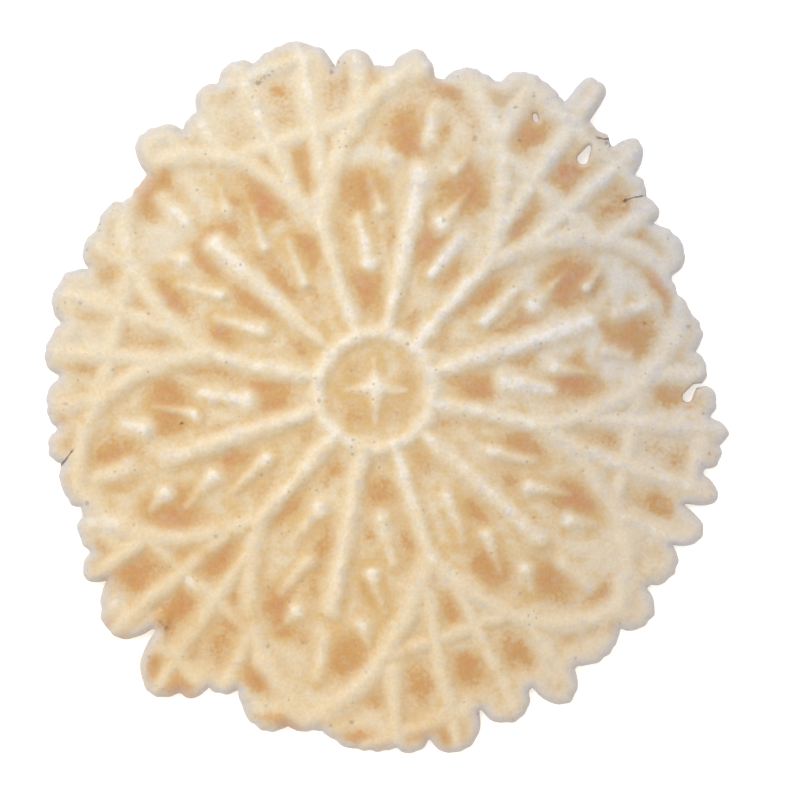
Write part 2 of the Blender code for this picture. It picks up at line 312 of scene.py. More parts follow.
def soft_noise(x, y, size, seed):
    """A smooth random field from about -1 to 1, with bumps about size across."""
    table = np.random.default_rng(seed).uniform(-1, 1, (NOISE_CELLS, NOISE_CELLS))
    u, v = x / size, y / size
    column, row = np.floor(u).astype(int), np.floor(v).astype(int)
    u, v = u - column, v - row
    u, v = u * u * (3 - 2 * u), v * v * (3 - 2 * v)
    left, right = column % NOISE_CELLS, (column + 1) % NOISE_CELLS
    below, above = row % NOISE_CELLS, (row + 1) % NOISE_CELLS
    low = table[below, left] * (1 - u) + table[below, right] * u
    high = table[above, left] * (1 - u) + table[above, right] * u
    return low * (1 - v) + high * v


def unevenness(x, y, fields):
    """The sum of random fields, each given as (amount, size of the bumps, seed)."""
    return sum(amount * soft_noise(x, y, size, seed) for amount, size, seed in fields)


def rim_radius(angle):
    """The outline's radius: the plain rim with its swells, or the lobe that reaches past it."""
    plain = np.full_like(angle, RIM_RADIUS)
    for centre, extra, spread in SWELLS:
        plain += extra * fading(angle_between(angle, centre), spread)
    radius = plain.copy()
    for lobe in LOBES + (FINGER,):
        start, peak, end, reach = lobe
        roundness = FINGER_ROUNDNESS if lobe is FINGER else LOBE_ROUNDNESS
        aside = angle_between(angle, peak)
        share = np.abs(aside) / np.where(aside < 0, peak - start, end - peak)
        bump = np.clip(1 - share**roundness, 0, 1) ** (1 / roundness)
        radius = np.maximum(radius, plain + (reach - plain) * bump)
    return radius


def rim_wobble(angle):
    """Small in and out of the edge, of a few millimetres along it."""
    draws = np.random.default_rng(WOBBLE_SEED)
    total = np.zeros_like(angle)
    for waves in WOBBLE_WAVES:
        total += np.sin(waves * np.radians(angle) + draws.uniform(0, math.tau)) * WOBBLE_DEPTH
    return total


class Outline:
    """The wafer's edge, seen from above."""

    def __init__(self):
        self.step = 360 / OUTLINE_STEPS
        self.angles = np.arange(OUTLINE_STEPS + 1) * self.step
        self.radii = rim_radius(self.angles) + rim_wobble(self.angles)
        turns = np.radians(self.angles[:-1])
        self.points = self.radii[:-1, None] * np.stack((np.cos(turns), np.sin(turns)), axis=1)

    def depth(self, x, y):
        """How far inside the edge each place lies, negative outside it, up to DEPTH_LIMIT."""
        angle = np.degrees(np.arctan2(y, x)) % 360
        inward = np.interp(angle, self.angles, self.radii) - np.hypot(x, y)
        near = np.abs(inward) < DEPTH_LIMIT
        depth = np.where(inward > 0, DEPTH_LIMIT, -DEPTH_LIMIT).astype(float)
        nearest = self.distance(x[near], y[near], angle[near])
        depth[near] = np.minimum(nearest, DEPTH_LIMIT) * np.sign(inward[near])
        return depth

    def distance(self, x, y, angle):
        """Distance to the edge, found among the stretches within a few degrees of each place."""
        index = (angle / self.step).astype(int)
        best = np.full_like(x, DEPTH_LIMIT)
        for offset in range(-NEAR_STRETCHES, NEAR_STRETCHES + 1):
            first = self.points[(index + offset) % OUTLINE_STEPS]
            along = self.points[(index + offset + 1) % OUTLINE_STEPS] - first
            gap = np.stack((x, y), axis=1) - first
            share = np.clip((gap * along).sum(1) / (along * along).sum(1), 0, 1)
            gap -= share[:, None] * along
            best = np.minimum(best, np.hypot(gap[:, 0], gap[:, 1]))
        return best


def path_distance(x, y, points):
    """Distance from each place to a line of points, and how far along the line it is, 0 to 1."""
    best, place = np.full_like(x, np.inf), np.zeros_like(x)
    for number, (start, end) in enumerate(zip(points, points[1:])):
        share, past, across = beside_stretch(x, y, start, end)
        distance = np.hypot(past, across)
        nearer = distance < best
        best = np.where(nearer, distance, best)
        place = np.where(nearer, (number + share) / (len(points) - 1), place)
    return best, place


def opening_distance(x, y):
    """How far each place lies from the nearest opening, negative inside one."""
    nearest = np.full_like(x, DEPTH_LIMIT)
    for start, end, first, last in OPENINGS:
        distance, share = path_distance(x, y, [polar(*start), polar(*end)])
        nearest = np.minimum(nearest, distance - between((first, last), share))
    return nearest


def between(pair, share):
    """A value that runs evenly from the pair's first to its second, or one plain value."""
    first, last = pair if isinstance(pair, tuple) else (pair, pair)
    return first + (last - first) * share


class Pattern:
    """The raised pattern at many places: how far it lifts the crust, and how pale it baked."""

    def __init__(self, x, y):
        self.x = x + unevenness(x, y, BENDS[0])
        self.y = y + unevenness(x, y, BENDS[1])
        self.widen = 1 + unevenness(x, y, RIDGE_WIDENING)
        self.filled = np.ones_like(x)
        for place, size, lost in FADES:
            centre = polar(*place)
            self.filled -= lost * fading(np.hypot(x - centre[0], y - centre[1]), size)
        self.powers = np.zeros_like(x)
        self.pale = np.zeros_like(x)
        self.foot = np.zeros_like(x)

    def ridge(self, points, width, height, pale=1.0, foot=1.0, taper=1.0):
        """A ridge along the points. Width, height and paleness are one value, or a pair that runs
        from start to end; a taper below 1 brings the end's values on sooner."""
        points = [np.asarray(point) for point in points]
        reach = RIDGE_REACH * max(np.atleast_1d(width))
        low, high = np.min(points, axis=0) - reach, np.max(points, axis=0) + reach
        near = (self.x > low[0]) & (self.x < high[0]) & (self.y > low[1]) & (self.y < high[1])
        distance, share = path_distance(self.x[near], self.y[near], points)
        share, filled = share**taper, self.filled[near]
        widths = between(width, share) * self.widen[near]
        crest = np.maximum(CREST_HALF * between(height, share) - WEB_HALF, 0)
        self.powers[near] += (crest * fading(distance, widths) * filled) ** BLEND_POWER
        glow = np.minimum(PALE_GAIN * fading(distance, PALE_REACH * widths), 1)
        self.pale[near] = np.maximum(self.pale[near], between(pale, share) * glow * filled)
        self.foot[near] = np.maximum(self.foot[near], foot * fading(distance, FOOT_REACH))

    def lift(self):
        return self.powers ** (1 / BLEND_POWER)


def half_arch(petal, side):
    """Points of one side of a petal's outline, from its foot on the spoke to its tip."""
    stretch = PETAL_TIPS[petal] / PETAL_TIP
    shoulder_spread, brow_spread = ARCH_SPREADS[petal][side > 0]
    foot, tip = np.array(PETAL_FOOT), np.array((0, PETAL_TIPS[petal]))
    shoulder = np.array(PETAL_SHOULDER) * stretch + (shoulder_spread, 0)
    brow = np.array(PETAL_BROW) * stretch + (brow_spread, 0)
    points = []
    for step in range(ARCH_STEPS + 1):
        done = step / ARCH_STEPS
        left = 1 - done
        bend = 3 * left * done * (left * shoulder + done * brow)
        points.append(left**3 * foot + bend + done**3 * tip)
    return points


def outside_petals(x, y):
    """Which places lie outside every petal."""
    outside = np.ones(len(x), bool)
    for petal in range(PETAL_COUNT):
        outward, leftward = turned(x, y, polar(petal_line(petal), 1))
        for side in (-1, 1):
            across = -side * leftward
            arch = np.array(half_arch(petal, side))
            half = np.interp(outward, arch[:, 1], arch[:, 0], right=0)
            wedge = outward * math.tan(math.radians(SECTOR / 2))
            half = np.where(outward < arch[0, 1], wedge, half)
            outside &= (outward < 0) | (across < 0) | (across >= half)
    return outside


def clip_to_gap(start, end):
    """The longest stretch of a straight line that lies outside the petals and inside the rim."""
    shares = np.linspace(0, 1, CLIP_STEPS + 1)
    x, y = (start[axis] + (end[axis] - start[axis]) * shares for axis in (0, 1))
    inside = np.hypot(x, y) < rim_radius(np.degrees(np.arctan2(y, x))) - RIDGE_MARGIN
    best, run = [], []
    for number, kept in enumerate(outside_petals(x, y) & inside):
        run = run + [number] if kept else []
        if len(run) > len(best):
            best = run
    return [np.array((x[number], y[number])) for number in (best[0], best[-1])]


def add_medallion(pattern):
    turns = (360 * step / RING_STEPS for step in range(RING_STEPS + 1))
    pattern.ridge([polar(turn, RING_RADIUS + RING_SPREAD) for turn in turns], *RING)
    for turn, reach in zip((0, 90, 180, 270), STAR_REACHES):
        pattern.ridge([STAR_CENTRE, STAR_CENTRE + polar(turn, reach)], *STAR)


def add_spokes(pattern):
    for sector in range(PETAL_COUNT):
        shared, axis = gap_line(sector), petal_line(sector)
        spoke = [polar(shared, RING_RADIUS), polar(shared, SPOKE_END)]
        end, widths, tones = MIDRIB_LOOKS[sector]
        midrib = [polar(axis, RING_RADIUS), polar(axis, end)]
        pattern.ridge(spoke, *SPOKE, pale=SPOKE_PALENESS[sector])
        pattern.ridge(midrib, widths, MIDRIB_HEIGHT, tones)


def add_petals(pattern):
    for petal in range(PETAL_COUNT):
        for side in (-1, 1):
            arch = [(side * across, outward) for across, outward in half_arch(petal, side)]
            points = [local(petal_line(petal), *point) for point in arch]
            pattern.ridge(points, *PETAL, ARCH_PALENESS[petal][side > 0], PETAL_FEET)


def add_dashes(pattern):
    for petal in range(PETAL_COUNT):
        axis = petal_line(petal)
        looks = enumerate(DASH_LOOKS[petal])
        for bulb, tail in DASHES:
            for side in (-1, 1):
                ends = [local(axis, side * across, outward) for across, outward in (bulb, tail)]
                number, (bulb_width, tail_width, tail_height) = next(looks)
                kept = DIM_DASHES.get((petal, number), 1.0)
                tail_tone = (tail_width - THIN_TAIL) / (WIDE_TAIL - THIN_TAIL)
                tone = (kept * BULB_PALENESS, kept * min(max(tail_tone, 0), 1))
                widths, heights = (bulb_width, tail_width), (BULB_HEIGHT, tail_height)
                pattern.ridge(ends, widths, heights, tone, taper=DASH_TAPER)
        ends = [local(axis, TIP_DASH_SIDES[petal], outward) for outward in TIP_DASH]
        tone = TIP_DASH_TONES[petal]
        pattern.ridge(ends, *TIP_DASH_LOOK, pale=(tone, TIP_DASH_FADE * tone))


def add_lattice(pattern):
    for gap in range(PETAL_COUNT):
        axis = gap_line(gap)
        pale, foot = LATTICE_PALENESS[gap], LATTICE_FEET[gap]
        for line in LATTICE_LINES:
            kept = clip_to_gap(*[local(axis, *point) for point in line])
            pattern.ridge(kept, *LATTICE, pale, foot)
        for outward, tone in zip((INNER_CROSSES[gap], OUTER_CROSSES[gap]), pale):
            ends = [local(axis, side * CROSS_HALF_SPAN, outward) for side in (-1, 1)]
            pattern.ridge(clip_to_gap(*ends), *CROSS, CROSS_SHARE * tone, foot)


def raised_pattern(x, y):
    pattern = Pattern(x, y)
    add_medallion(pattern)
    add_spokes(pattern)
    add_petals(pattern)
    add_dashes(pattern)
    add_lattice(pattern)
    return pattern


def half_thickness(x, y, depth):
    """Half the wafer's thickness, before the edge rounds it off."""
    lift = raised_pattern(x, y).lift()
    bead = BEAD_HEIGHT * (1 + unevenness(x, y, BEAD_SWELL))
    bead *= fading(depth - BEAD_PLACE, BEAD_SPREAD)
    raised = (lift**BEAD_BLEND + bead**BEAD_BLEND) ** (1 / BEAD_BLEND)
    raised *= RAISED_SHARE + unevenness(x, y, RIDGE_SWELL)
    return WEB_HALF + raised + unevenness(x, y, WEB_WAVES)


def mid_height(x, y):
    """Height of the wafer's middle: it warped a little as it cooled."""
    return CREST_HALF + unevenness(x, y, WARP)


def surface_net(values):
    """Vertices, in node units, and faces of the closed surface where the values turn positive."""
    cells = tuple(size - 1 for size in values.shape)
    total, count = np.zeros(cells + (3,)), np.zeros(cells)
    edges = []
    for axis in range(3):
        others = ((axis + 1) % 3, (axis + 2) % 3)
        low = np.take(values, range(values.shape[axis] - 1), axis)
        high = np.take(values, range(1, values.shape[axis]), axis)
        crosses = (low < 0) != (high < 0)
        share = np.where(crosses, low / np.where(crosses, low - high, 1), 0)
        place = np.stack(np.indices(crosses.shape), axis=-1).astype(float)
        place[..., axis] += share
        place *= crosses[..., None]
        for first in (0, 1):
            for second in (0, 1):
                part = [slice(None)] * 3
                part[others[0]] = slice(first, cells[others[0]] + first)
                part[others[1]] = slice(second, cells[others[1]] + second)
                total += place[tuple(part)]
                count += crosses[tuple(part)]
        edges.append((axis, others, crosses, low < 0))
    active = count > 0
    number = np.cumsum(active.ravel()).reshape(cells) - 1
    vertices = total[active] / count[active][:, None]
    faces = [edge_faces(number, cells, *edge) for edge in edges]
    return vertices, np.concatenate(faces)


def edge_faces(number, cells, axis, others, crosses, starts_inside):
    """One quad round each node edge that crosses the surface, facing outward."""
    inner = [slice(None)] * 3
    for other in others:
        inner[other] = slice(1, cells[other])
    found = np.argwhere(crosses[tuple(inner)])
    outward = starts_inside[tuple(inner)][crosses[tuple(inner)]]
    found[:, others[0]] += 1
    found[:, others[1]] += 1
    corners = []
    for back in ((1, 1), (0, 1), (0, 0), (1, 0)):
        cell = found.copy()
        cell[:, others[0]] -= back[0]
        cell[:, others[1]] -= back[1]
        corners.append(number[cell[:, 0], cell[:, 1], cell[:, 2]])
    quads = np.stack(corners, axis=1)
    return np.where(outward[:, None], quads, quads[:, ::-1])


class Map:
    """Values at the nodes of a flat grid, read in between."""

    def __init__(self, origin, values):
        self.origin, self.values = origin, values

    def at(self, x, y):
        u, v = (x - self.origin[0]) / GRID, (y - self.origin[1]) / GRID
        i = np.clip(u.astype(int), 0, self.values.shape[0] - 2)
        j = np.clip(v.astype(int), 0, self.values.shape[1] - 2)
        u, v = u - i, v - j
        near = self.values[i, j] * (1 - v) + self.values[i, j + 1] * v
        far = self.values[i + 1, j] * (1 - v) + self.values[i + 1, j + 1] * v
        return near * (1 - u) + far * u


def settled(x, y, level, edges, slopes):
    """Draws points onto the surface, on which level and nearness to the edge make a round."""
    for _ in range(SETTLING_STEPS):
        near_edge = edges.at(x, y)
        excess = level**2 + near_edge**2 - 1
        pull_x = 2 * near_edge * slopes[0].at(x, y)
        pull_y = 2 * near_edge * slopes[1].at(x, y)
        pull_up = 2 * level
        scale = excess / np.maximum(pull_x**2 + pull_y**2 + pull_up**2, LEAST_PULL)
        x, y, level = x - scale * pull_x, y - scale * pull_y, level - scale * pull_up
    return x, y, level


def crust_shape(outline):
    """The wafer's closed surface as points, in millimetres about the rosette, and quads."""
    reach = max(outline.radii) + 3 * GRID
    ticks = np.arange(-reach, reach, GRID)
    x, y = np.meshgrid(ticks, ticks, indexing="ij")
    depth = outline.depth(x.ravel(), y.ravel()).reshape(x.shape)
    hole = opening_distance(x.ravel(), y.ravel()).reshape(x.shape)
    edge = np.maximum(np.maximum(1 - depth / EDGE_ROUND, 1 - hole / HOLE_ROUND), 0)
    layers = np.array(LAYERS)
    values = layers[None, None, :] ** 2 + edge[:, :, None] ** 2 - 1
    nodes, faces = surface_net(values)
    x, y = ticks[0] + nodes[:, 0] * GRID, ticks[0] + nodes[:, 1] * GRID
    level = np.interp(nodes[:, 2], range(len(layers)), layers)

    origin = (ticks[0], ticks[0])
    depths, edges = Map(origin, depth), Map(origin, edge)
    slopes = [Map(origin, slope) for slope in np.gradient(edge, GRID)]
    x, y, level = settled(x, y, level, edges, slopes)
    height = mid_height(x, y) + level * half_thickness(x, y, depths.at(x, y))
    return np.stack((x, y, height - height.min()), axis=1), faces, level


def thin_underside(piece, level):
    """Fewer triangles underneath, where the wafer rests; the top keeps them all."""
    group = piece.vertex_groups.new(name="underside")
    group.add([int(i) for i in np.nonzero(level < UNDERSIDE)[0]], 1.0, "REPLACE")
    thinned = piece.modifiers.new("thin_underside", "DECIMATE")
    thinned.vertex_group = group.name
    thinned.ratio = MOST_TRIANGLES / (2 * len(piece.data.polygons))
    depsgraph = bpy.context.evaluated_depsgraph_get()
    mesh = bpy.data.meshes.new_from_object(piece.evaluated_get(depsgraph))
    piece.modifiers.clear()
    piece.vertex_groups.clear()
    piece.data = mesh


# Where the iron toasted the floors, petal by petal and gap by gap: (across, outward) from the axis,
# half-width, half-length and strength. Each patch lies along its radius from the rosette's centre.
# A few narrow patches at a ridge's foot, in petals 0 and 3, are painted shade rather than toast.
PETAL_TOAST = (
    ((5.2, 48.4, 3.9, 4.8, 0.95), (6.4, 45.3, 1.7, 3.4, 0.85), (2.6, 43.3, 1.9, 1.8, 0.8),
     (-8.6, 41.4, 4.1, 4.6, 0.95), (-6.5, 44.2, 1.8, 3.2, 0.6), (-5.2, 38.6, 2.8, 2.6, 0.85),
     (10.5, 35.8, 3.1, 5.4, 0.97), (-4.4, 29.8, 2.3, 3.4, 0.75), (-3.2, 25.6, 1.2, 2.4, 0.5),
     (-10.6, 25.2, 1.7, 4.8, 0.8), (5.6, 19.2, 2.6, 3.6, 0.85), (4.0, 28.0, 1.9, 3.0, 0.65),
     (-4.4, 14.6, 1.6, 2.6, 0.45), (-0.6, 57.2, 6.4, 2.0, 0.75), (-10.6, 51.5, 1.8, 2.6, 0.25),
     (-6.2, 42.2, 2.0, 3.4, 0.8), (-2.0, 57.5, 4.2, 2.2, 0.95), (6.4, 37.2, 1.5, 2.4, 0.4),
     (8.2, 46.8, 2.2, 2.4, 0.8), (3.4, 15.6, 1.8, 3.4, 0.5), (-9.4, 20.6, 1.4, 3.0, 0.6),
     (-2.8, 32.4, 1.6, 2.4, 0.35), (-7.0, 54.2, 2.4, 2.0, 0.5)),
    ((-3.7, 48.3, 3.8, 5.5, 0.97), (-2.4, 45.2, 4.0, 1.8, 0.75), (-8.8, 36.0, 4.4, 4.2, 0.92),
     (-13.2, 35.8, 1.6, 3.6, 0.7), (9.6, 39.2, 3.6, 4.4, 0.95), (8.8, 43.2, 2.2, 2.8, 0.85),
     (4.8, 39.6, 1.8, 2.4, 0.7), (4.2, 30.2, 2.6, 4.0, 0.97), (3.2, 26.4, 1.4, 2.4, 0.6),
     (9.6, 24.2, 1.8, 4.0, 0.7), (-5.6, 18.4, 3.0, 4.0, 0.9), (-2.5, 28.6, 1.2, 4.0, 0.6),
     (-12.0, 27.5, 1.5, 3.4, 0.5), (1.6, 57.6, 3.8, 2.2, 0.92), (5.4, 54.4, 2.0, 2.4, 0.4),
     (-2.4, 58.0, 2.6, 1.4, 0.35), (7.0, 28.3, 1.5, 3.0, 0.6), (-3.2, 19.4, 1.4, 4.0, 0.5),
     (12.6, 37.6, 1.4, 5.0, 0.5), (2.3, 31.4, 1.3, 4.0, 0.8), (8.5, 51.9, 1.8, 2.4, 0.35),
     (3.0, 49.2, 1.4, 2.8, 0.55), (4.2, 14.6, 1.8, 2.8, 0.55)),
    ((-1.6, 54.6, 2.9, 3.6, 0.8), (3.2, 56.2, 3.4, 3.4, 0.85), (-1.2, 58.6, 3.0, 1.6, 0.8),
     (-12.1, 39.8, 3.0, 5.0, 0.95), (-3.0, 40.4, 2.2, 4.6, 0.97), (0.4, 43.4, 2.0, 1.5, 0.7),
     (5.1, 40.2, 2.1, 2.8, 0.8), (2.8, 42.6, 2.0, 1.6, 0.5), (13.1, 39.2, 3.6, 5.2, 0.95),
     (14.6, 35.2, 1.2, 3.6, 0.4), (8.6, 43.0, 1.8, 1.8, 0.5), (11.4, 26.6, 2.6, 4.2, 0.9),
     (2.6, 26.4, 1.8, 5.0, 0.8), (-10.6, 28.0, 2.3, 3.6, 0.8), (-2.6, 27.6, 1.8, 5.4, 0.95),
     (-2.9, 16.2, 1.4, 3.2, 0.65), (4.4, 31.5, 2.2, 3.6, 0.45), (5.6, 20.5, 1.8, 3.4, 0.4)),
    ((4.6, 49.6, 3.1, 5.2, 0.8), (-1.3, 50.6, 1.4, 4.6, 0.4), (-10.0, 43.2, 3.8, 5.4, 0.9),
     (-6.6, 45.2, 2.2, 2.6, 0.75), (-13.2, 40.4, 2.0, 5.4, 0.5), (-6.4, 39.4, 2.2, 1.6, 0.4),
     (8.6, 37.0, 2.8, 3.2, 0.9), (5.8, 37.6, 1.8, 3.0, 0.6), (12.0, 36.6, 2.8, 4.0, 0.9),
     (-3.6, 29.4, 3.0, 4.2, 0.9), (4.6, 18.8, 2.2, 4.4, 0.8), (7.6, 18.8, 1.3, 5.0, 0.75),
     (11.8, 25.0, 1.4, 4.4, 0.3), (2.4, 29.0, 1.4, 4.0, 0.4), (-10.6, 25.2, 1.6, 3.6, 0.45),
     (9.0, 55.2, 1.4, 3.2, 0.5), (13.6, 28.8, 1.2, 4.6, 0.5), (-3.8, 14.4, 1.6, 2.6, 0.45)),
    ((-4.0, 50.0, 3.3, 5.4, 0.8), (9.8, 42.6, 2.9, 3.7, 0.9), (7.4, 47.0, 2.4, 1.9, 0.65),
     (11.6, 25.0, 1.8, 4.6, 0.85), (-4.4, 18.2, 3.0, 5.2, 0.65), (4.2, 30.5, 1.7, 5.4, 0.6),
     (5.0, 16.5, 1.9, 3.6, 0.6), (-6.2, 35.4, 2.4, 3.4, 0.65), (8.2, 53.0, 2.0, 2.4, 0.3),
     (-11.0, 26.5, 1.6, 4.6, 0.6), (8.8, 62.6, 2.2, 1.6, 0.7), (3.4, 64.2, 3.6, 1.7, 0.95),
     (-9.6, 63.6, 4.2, 1.7, 0.85), (-8.0, 50.4, 2.4, 3.6, 0.5), (-4.4, 26.3, 1.6, 3.0, 0.5),
     (4.2, 39.0, 1.6, 4.0, 0.5), (3.8, 47.8, 1.6, 3.0, 0.4)),
    ((-11.2, 27.8, 2.0, 4.0, 0.85), (-8.4, 26.4, 1.8, 3.0, 0.6), (3.8, 15.8, 2.4, 3.2, 0.5),
     (-4.0, 14.0, 1.6, 2.8, 0.45), (5.0, 48.0, 3.4, 5.2, 0.85), (-9.4, 41.2, 3.4, 4.8, 0.88),
     (10.6, 37.8, 3.0, 4.6, 0.85), (4.4, 29.0, 1.9, 3.8, 0.7), (-4.4, 30.0, 2.0, 3.6, 0.6),
     (0.5, 56.6, 4.0, 1.7, 0.6)),
)
GAP_TOAST = (
    ((-0.5, 41.0, 2.4, 4.8, 0.97), (-10.4, 54.8, 3.5, 5.0, 0.85), (0.6, 54.4, 3.2, 4.6, 0.95),
     (10.8, 54.6, 2.8, 4.6, 0.6), (-7.8, 59.0, 1.6, 1.5, 0.3), (7.4, 57.6, 1.8, 2.6, 0.4),
     (17.0, 54.4, 1.8, 2.8, 0.6), (-20.0, 55.3, 2.4, 2.2, 0.8), (-0.8, 62.8, 2.6, 2.2, 0.6)),
    ((0.4, 42.6, 2.4, 5.6, 0.75), (1.2, 46.0, 1.8, 2.0, 0.6), (-9.2, 54.6, 3.3, 4.4, 0.3),
     (-8.2, 59.6, 2.6, 1.8, 0.25), (0.4, 53.2, 2.4, 3.0, 0.3), (0.8, 58.2, 2.8, 2.6, 0.65),
     (10.2, 54.2, 2.4, 4.6, 0.55), (12.8, 56.6, 1.5, 3.4, 0.45), (18.0, 56.2, 1.8, 2.4, 0.6),
     (-5.6, 46.8, 1.6, 1.8, 0.5), (6.6, 47.4, 1.3, 1.6, 0.5)),
    ((0.8, 41.0, 2.4, 3.4, 0.45), (0.8, 46.6, 3.8, 3.4, 0.4), (-6.6, 53.8, 1.7, 4.8, 0.65),
     (3.6, 54.0, 1.8, 3.6, 0.4), (12.0, 53.6, 2.3, 3.6, 0.5), (-17.0, 56.0, 1.7, 1.6, 0.55),
     (-5.4, 46.2, 2.4, 2.4, 0.7), (7.2, 46.4, 1.8, 1.8, 0.5), (19.5, 54.4, 2.0, 1.5, 0.3)),
    ((1.2, 42.6, 2.9, 5.2, 0.85), (-9.2, 54.4, 3.6, 4.6, 0.5), (-8.8, 49.4, 3.0, 2.0, 0.6),
     (-6.4, 65.6, 2.4, 2.0, 0.7), (1.0, 55.0, 3.0, 4.6, 0.98), (10.8, 54.8, 3.6, 5.2, 0.78),
     (-9.0, 65.2, 3.6, 2.4, 0.95), (-2.6, 65.0, 2.4, 2.4, 0.9), (7.0, 65.4, 3.4, 1.8, 0.85),
     (-19.0, 54.6, 4.4, 2.2, 0.8), (19.0, 54.6, 3.2, 1.6, 0.5), (-5.6, 46.2, 1.8, 2.2, 0.65),
     (7.0, 46.2, 2.1, 2.2, 0.6), (13.8, 57.2, 1.7, 2.8, 0.6), (-5.6, 58.4, 1.4, 3.2, 0.6),
     (1.8, 58.8, 1.8, 1.6, 0.7), (5.8, 50.8, 1.6, 2.2, 0.4)),
    ((17.6, 53.8, 3.4, 2.6, 0.6), (7.6, 65.2, 3.6, 2.6, 0.85), (12.0, 62.4, 2.4, 1.6, 0.6),
     (19.5, 61.6, 3.2, 1.6, 0.7), (0.0, 43.0, 1.9, 4.6, 0.7), (-9.6, 54.6, 2.9, 4.3, 0.8),
     (0.4, 54.0, 2.9, 4.0, 0.85), (10.0, 55.0, 2.7, 4.2, 0.7), (13.4, 63.4, 2.0, 1.4, 0.45),
     (-19.0, 55.0, 2.0, 1.8, 0.4)),
    ((0.4, 44.0, 2.0, 4.2, 0.5), (-10.2, 53.3, 2.1, 4.2, 0.8), (-9.4, 57.6, 1.7, 1.9, 0.5),
     (1.2, 57.4, 3.1, 2.3, 0.45), (0.2, 52.8, 3.0, 2.6, 0.3), (-18.0, 54.2, 2.2, 1.6, 0.3),
     (10.2, 55.0, 2.7, 4.0, 0.75)),
)

# The medallion's patches: (right, up) from the centre, then the same sizes.
CENTRE_TOAST = (
    ((-3.8, 4.2), 2.6, 2.6, 0.4), ((4.4, -3.6), 3.2, 3.2, 0.4), ((-3.8, -4.4), 3.4, 3.2, 0.55),
    ((6.2, 3.4), 2.6, 2.8, 0.4),
)

# Milky hazes on the floors: places where the batter stayed pale, given in the same way.
PETAL_HAZE = (
    ((5.4, 40.8, 3.4, 1.6, 0.85), (10.4, 41.6, 2.2, 1.5, 0.8), (9.6, 43.4, 2.4, 1.8, 0.9),
     (13.0, 45.2, 2.8, 1.8, 0.8), (-4.2, 50.6, 3.6, 3.2, 0.7), (5.6, 24.0, 2.6, 3.0, 0.6),
     (-9.0, 48.8, 2.6, 2.2, 0.5), (5.6, 32.6, 2.4, 2.4, 0.5), (-9.6, 32.8, 2.8, 3.4, 0.75),
     (2.6, 34.6, 2.0, 4.0, 0.6), (-1.2, 48.0, 1.8, 2.2, 0.6), (1.6, 54.4, 2.0, 2.0, 0.6)),
    ((-10.4, 42.6, 4.0, 2.8, 0.8), (-5.4, 42.0, 2.4, 1.7, 0.5), (3.0, 41.8, 1.8, 2.2, 0.6),
     (10.8, 46.4, 2.4, 2.2, 0.6), (5.4, 44.6, 1.8, 2.0, 0.6), (-6.8, 53.2, 2.6, 1.8, 0.5),
     (6.4, 33.6, 2.6, 2.0, 0.5), (11.2, 31.4, 2.4, 2.6, 0.75)),
    ((-0.4, 47.4, 7.4, 2.1, 0.75), (-8.2, 48.6, 3.4, 3.2, 0.65), (-5.6, 44.0, 2.4, 2.2, 0.6),
     (-7.2, 38.6, 2.0, 4.0, 0.5), (-5.0, 32.4, 1.8, 2.6, 0.5), (10.8, 32.8, 2.2, 2.0, 0.5)),
    ((8.0, 44.6, 2.2, 3.2, 0.5), (-1.6, 44.6, 3.6, 1.8, 0.35), (6.6, 23.6, 2.4, 2.6, 0.5),
     (0.0, 55.2, 5.0, 1.8, 0.4), (-10.2, 35.7, 3.0, 3.0, 0.5), (-4.8, 50.4, 2.4, 3.4, 0.5)),
    ((-6.2, 42.8, 3.0, 2.6, 0.6), (5.8, 42.8, 2.0, 2.2, 0.5), (3.8, 53.2, 3.4, 2.8, 0.4),
     (6.0, 22.6, 2.4, 2.6, 0.55), (-6.0, 23.6, 2.4, 2.4, 0.5), (0.4, 57.8, 5.4, 2.4, 0.6),
     (9.6, 30.8, 2.4, 3.0, 0.6), (1.0, 45.8, 2.0, 2.2, 0.5), (-3.4, 59.5, 2.6, 1.6, 0.5)),
    ((8.4, 43.4, 3.6, 2.4, 0.5), (-5.8, 45.0, 3.0, 2.4, 0.5), (-3.6, 21.6, 2.4, 3.2, 0.6)),
)
GAP_HAZE = (
    ((9.0, 48.6, 3.2, 1.8, 0.7), (-8.4, 49.0, 3.2, 1.6, 0.5), (-20.0, 58.8, 3.0, 1.6, 0.4)),
    ((0.0, 50.0, 9.0, 1.8, 0.6), (-14.0, 61.6, 2.6, 1.8, 0.5), (-9.0, 57.8, 3.0, 2.4, 0.5),
     (10.6, 53.6, 2.6, 3.0, 0.4), (-22.4, 57.2, 3.4, 2.0, 0.6)),
    ((-7.0, 49.0, 3.0, 2.0, 0.6), (8.4, 49.0, 3.4, 2.2, 0.8), (-1.2, 56.0, 2.6, 3.6, 0.8),
     (8.2, 57.0, 2.6, 3.0, 0.5)),
    ((9.6, 61.4, 2.6, 1.8, 0.9), (-22.0, 58.0, 2.8, 1.6, 0.9)),
    ((0.0, 49.6, 6.0, 1.6, 0.5), (19.0, 58.8, 3.4, 1.5, 0.5)),
    ((0.0, 49.4, 7.0, 2.0, 0.5), (-19.0, 51.0, 4.0, 1.6, 0.4), (-9.6, 48.4, 4.0, 2.6, 0.7)),
)

# What hides or shades the floors: the lift at which a ridge hides them, how firmly, the lift and
# the way across at which it throws a soft shade, and how its golden foot fades between two radii.
FLOOR_LIFT = 0.62
FLOOR_BLUNTNESS = 1.5
SHADE_LIFT = 0.55
SHADE_SHIFT = (0.85, -0.85)
FEET_FADE = ((44.0, 56.0), (1.0, 0.6))

# The rim and the white marks: how far and how pale they bake; how pale the light painted round the
# openings is, against the shade of their walls; how far the rim's painted grey shade goes, over
# which heights it comes in; and what rim and haze take from the toast.
RIM_PALE_REACH = 2.6
RIM_PALENESS = 0.6
# Light painted round the openings, against the shade of their walls.
HOLE_PAINTED_LIGHT = 0.42
MARK_PALENESS = 1.2
RIM_SHADE = 1.55
RIM_SHADE_HEIGHTS = ((1.6, 2.4), (0.15, 1.0))
RIM_TOAST_LOSS = 0.15
HAZE_TOAST_LOSS = 0.6

